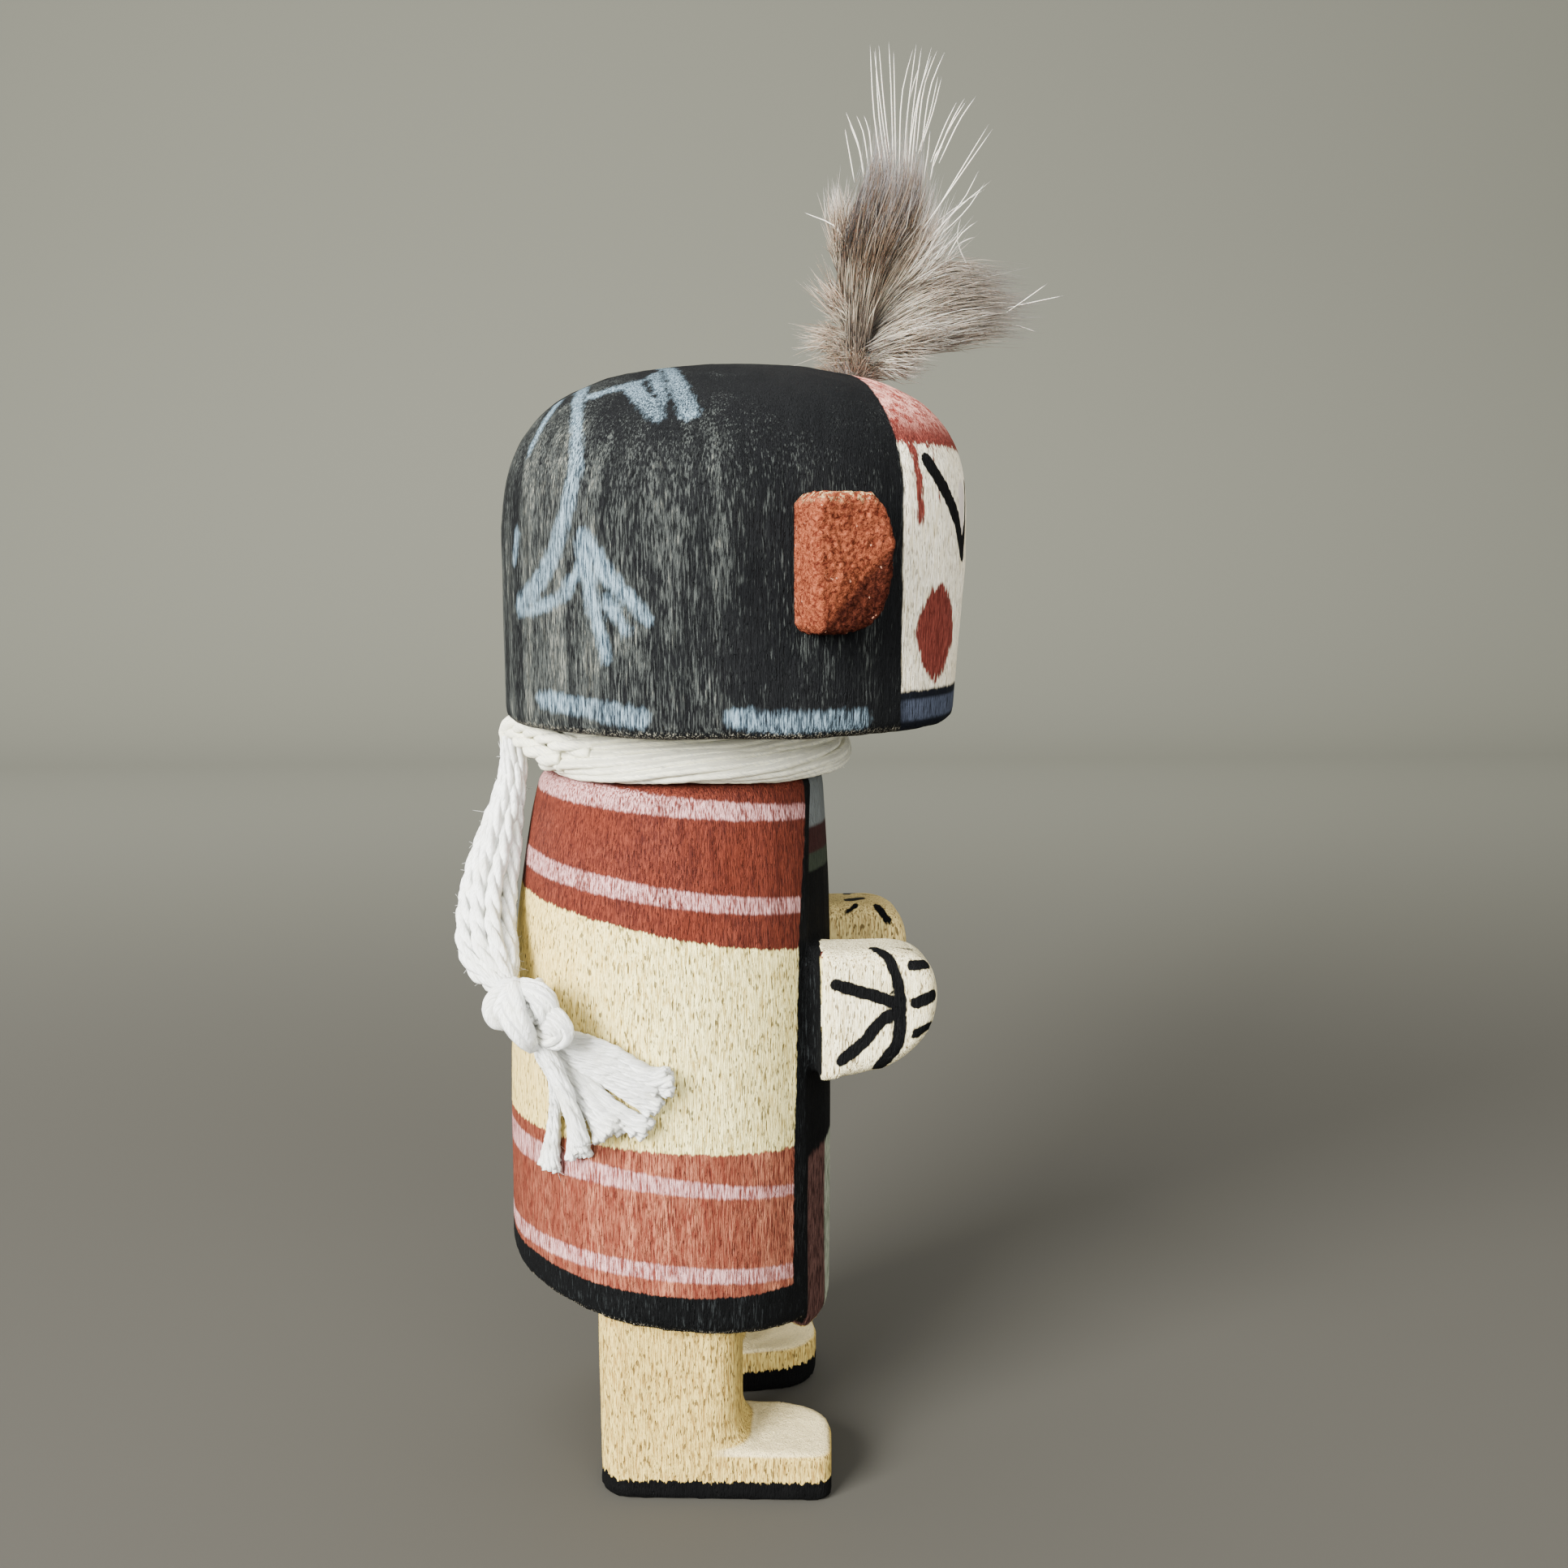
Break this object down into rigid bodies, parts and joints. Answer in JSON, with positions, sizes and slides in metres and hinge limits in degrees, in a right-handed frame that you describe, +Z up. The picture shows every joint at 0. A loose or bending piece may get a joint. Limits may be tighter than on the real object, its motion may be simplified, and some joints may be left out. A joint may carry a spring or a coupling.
{
  "type": "kachina doll",
  "caption": "Small carved and painted wooden figure with a drum-shaped head, wrapped cape, mitt hands, glued ears, a fur tuft on the crown and a knotted yarn tail at the nape.",
  "frame": {"origin": "middle of the footprint of the figure with its ears and fur, on the plane under the soles", "axes": "+Z up, +X the way the doll faces, +Y towards its left hand"},
  "size_m": [0.0461, 0.0418, 0.1127],
  "materials": {
    "carved_figure": "matt water paint on open-grained wood",
    "ear_right": "matt paint on rough end grain",
    "ear_left": "matt paint on rough end grain",
    "fur_tuft": "soft grey-brown fur with white guard hairs",
    "yarn_neck_wrap": "off-white cotton yarn",
    "yarn_tail": "off-white cotton yarn",
    "yarn_knot": "off-white cotton yarn",
    "yarn_tassel": "off-white cotton yarn, cut ends"
  },
  "bodies": {
    "root": {"carved_figure": "carved_figure", "ear_right": "ear_right", "ear_left": "ear_left", "fur_tuft": "fur_tuft", "yarn_neck_wrap": "yarn_neck_wrap", "yarn_tail": "yarn_tail", "yarn_knot": "yarn_knot", "yarn_tassel": "yarn_tassel"}
  },
  "joints": []
}
